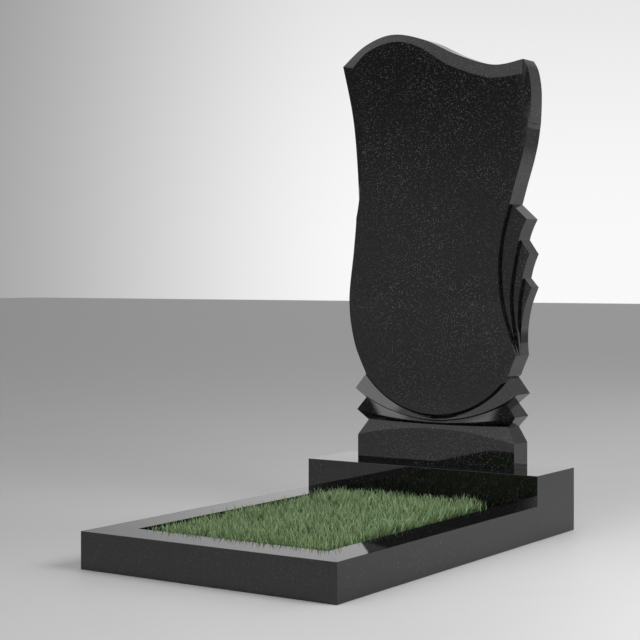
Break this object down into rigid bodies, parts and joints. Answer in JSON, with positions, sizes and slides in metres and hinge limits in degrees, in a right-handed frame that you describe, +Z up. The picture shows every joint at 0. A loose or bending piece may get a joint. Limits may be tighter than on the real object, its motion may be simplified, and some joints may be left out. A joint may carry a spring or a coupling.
{
  "type": "headstone",
  "caption": "Upright grave memorial in polished black granite: wavy carved stele with petals and leaf neck on a block plinth, low kerb in front around a grass bed",
  "frame": {"origin": "On the ground, in the middle of the footprint of the kerb and the plinth together", "axes": "+Z up, +X to the right seen from the front, -Y towards the front, where the kerb and the grass bed lie; the stele stands at the back and faces -Y"},
  "size_m": [0.64, 1.045, 1.2183],
  "materials": {
    "stele_granite": "polished",
    "plinth_granite": "polished",
    "kerb_granite": "polished",
    "turf": "matte"
  },
  "bodies": {
    "root": {"stele": "stele_granite", "plinth": "plinth_granite", "front_kerb": "kerb_granite", "left_kerb": "kerb_granite", "right_kerb": "kerb_granite", "turf": "turf"}
  },
  "joints": []
}
